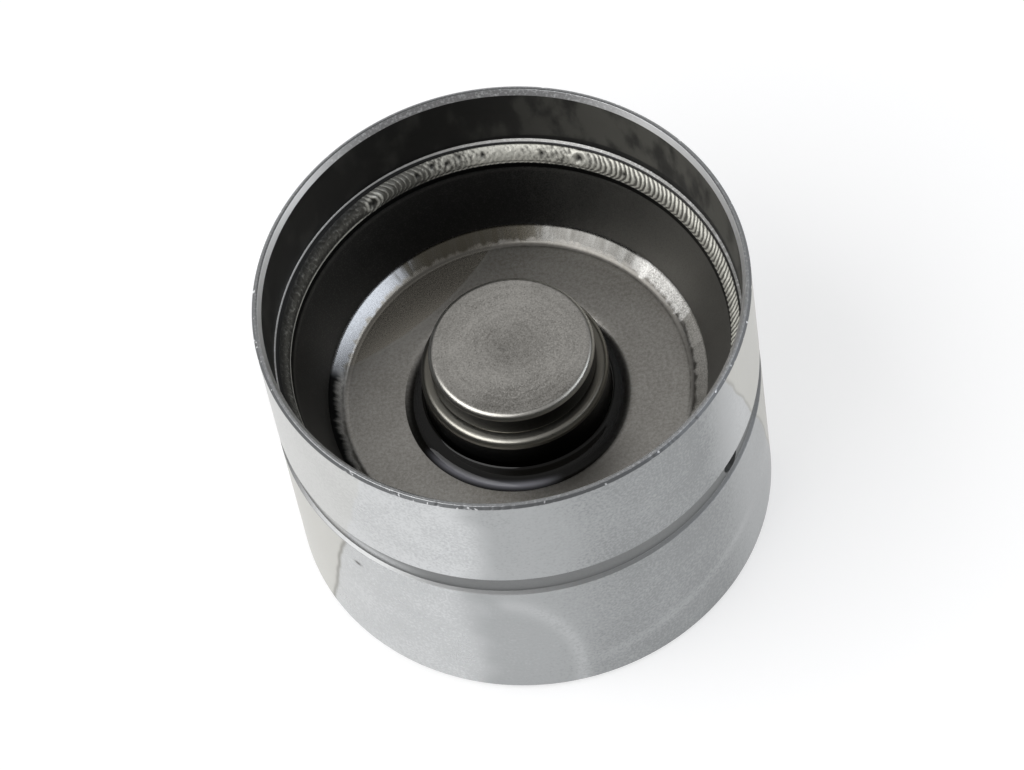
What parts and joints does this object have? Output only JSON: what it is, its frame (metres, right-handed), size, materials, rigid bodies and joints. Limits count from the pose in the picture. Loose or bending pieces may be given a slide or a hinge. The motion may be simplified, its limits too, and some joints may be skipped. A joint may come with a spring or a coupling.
{
  "type": "hydraulic valve lifter",
  "caption": "Cup-shaped hydraulic valve lifter with a ground skirt, an oil groove, a welded guide sleeve and a sprung hydraulic element that takes up valve play.",
  "frame": {"origin": "centre of the cam face, which the part stands on", "axes": "+Z along the axis, from the cam face towards the open mouth; +X along the oil transfer slot"},
  "size_m": [0.035, 0.035, 0.026],
  "materials": {
    "ground_skirt": "satin ground steel",
    "drawn_sleeve": "oiled drawn steel",
    "weld_metal": "rippled weld metal",
    "turned_element": "turned and ground steel",
    "hardened_ball": "polished ball",
    "spring_wire": "drawn wire"
  },
  "bodies": {
    "bucket": {"bucket_housing": "ground_skirt", "guide_sleeve": "drawn_sleeve", "weld_bead": "weld_metal"},
    "piston": {"piston": "turned_element", "valve_cap": "drawn_sleeve", "check_spring": "spring_wire", "return_spring": "spring_wire"},
    "cylinder": {"inner_cylinder": "turned_element", "retaining_ring": "spring_wire"},
    "ball": {"check_ball": "hardened_ball"}
  },
  "joints": [
    {"name": "element_turn", "type": "hinge", "parent": "bucket", "child": "piston", "pos_m": [0, 0, 0], "axis": [0, 0, 1], "continuous": true},
    {"name": "element_stroke", "type": "slide", "parent": "piston", "child": "cylinder", "axis": [0, 0, 1], "range_m": [-0.0022, 0], "stiffness_N_per_m": 1000, "springref_m": 0.004, "deforming": ["return_spring"]},
    {"name": "check_ball_lift", "type": "slide", "parent": "piston", "child": "ball", "axis": [0, 0, 1], "range_m": [0, 0.00025], "stiffness_N_per_m": 60, "springref_m": -0.0005, "deforming": ["check_spring"]}
  ]
}
